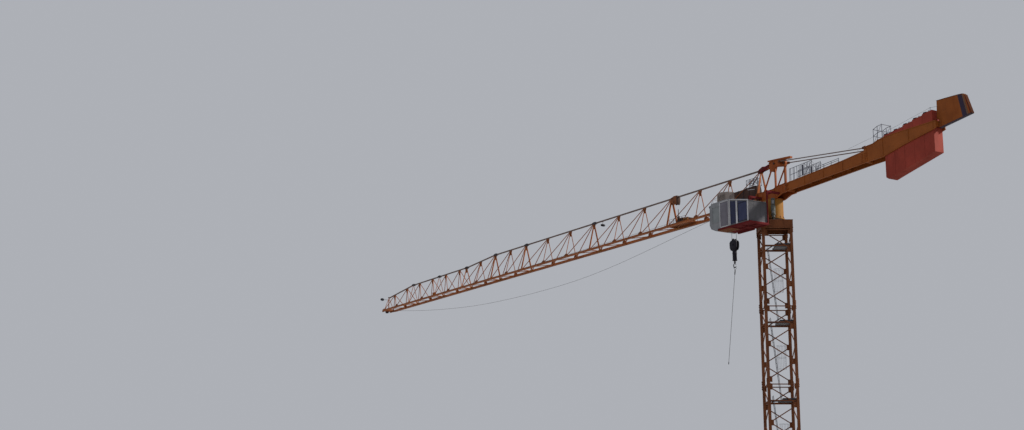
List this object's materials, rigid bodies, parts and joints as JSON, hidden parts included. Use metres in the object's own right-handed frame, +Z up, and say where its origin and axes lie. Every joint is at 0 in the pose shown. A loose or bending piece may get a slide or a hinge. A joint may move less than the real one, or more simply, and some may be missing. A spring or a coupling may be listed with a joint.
{
  "type": "scale model tower crane (1:10)",
  "caption": "Flat-top tower crane as a 1:10 model: lattice mast and jib, slewing top, cab, counter-jib with weights, trolley and hook block on a hoist rope.",
  "frame": {"origin": "middle of the underside of the base frame, on the slewing axis, on the ground", "axes": "+Z up along the mast, -X along the jib, +Y to the operator's right; the cab is on the -Y side"},
  "size_m": [8.3275, 0.5868, 3.554],
  "materials": {
    "yellow_paint": "satin",
    "dark_orange_paint": "satin",
    "grey_steel": "satin",
    "cab_grey": "satin",
    "dark_glass": "smooth",
    "red_paint": "satin",
    "black_steel": "satin"
  },
  "bodies": {
    "mast": {"base_frame": "dark_orange_paint", "mast_section_1": "dark_orange_paint", "mast_section_2": "dark_orange_paint", "mast_section_3": "dark_orange_paint", "mast_section_4": "dark_orange_paint", "mast_section_5": "dark_orange_paint", "mast_decks": "grey_steel", "mast_ladders": "grey_steel", "turntable_support": "dark_orange_paint", "slewing_ring": "grey_steel"},
    "upper_works": {"slewing_column": "yellow_paint", "slewing_frame": "yellow_paint", "slewing_drives": "black_steel", "tower_head": "yellow_paint", "jib_section_1": "yellow_paint", "jib_section_2": "yellow_paint", "jib_section_3": "yellow_paint", "jib_section_4": "yellow_paint", "jib_section_5": "yellow_paint", "jib_section_6": "yellow_paint", "jib_section_7": "yellow_paint", "jib_section_8": "yellow_paint", "jib_tip": "yellow_paint", "jib_root_cabinet": "dark_orange_paint", "trolley_winch": "red_paint", "counter_jib_front": "yellow_paint", "counter_jib_rear": "yellow_paint", "counter_jib_rails": "grey_steel", "pendant_bars": "dark_orange_paint", "counterweights": "red_paint", "rear_panel": "yellow_paint", "cab_platform": "dark_orange_paint", "cab_shell": "cab_grey", "cab_glass": "dark_glass", "cab_roof_unit": "cab_grey", "cab_annex": "cab_grey", "annex_glass": "dark_glass"},
    "trolley": {"trolley_frame": "dark_orange_paint", "trolley_wheels": "black_steel", "hoist_falls": "black_steel"},
    "hook_block": {"hook_block": "black_steel"},
    "hook": {"hook": "black_steel", "sling": "black_steel"}
  },
  "joints": [
    {"name": "slewing", "type": "hinge", "parent": "mast", "child": "upper_works", "pos_m": [0, 0, 3.034], "axis": [0, 0, 1], "continuous": true},
    {"name": "trolley_travel", "type": "slide", "parent": "upper_works", "child": "trolley", "axis": [-1, 0, 0], "range_m": [-0.05, 5.6]},
    {"name": "hoist", "type": "slide", "parent": "trolley", "child": "hook_block", "axis": [0, 0, 1], "range_m": [-1.9, 0.13], "deforming": ["hoist_falls"]},
    {"name": "hook_swivel", "type": "hinge", "parent": "hook_block", "child": "hook", "pos_m": [-0.47, 0, 2.81], "axis": [0, 0, 1], "continuous": true}
  ]
}
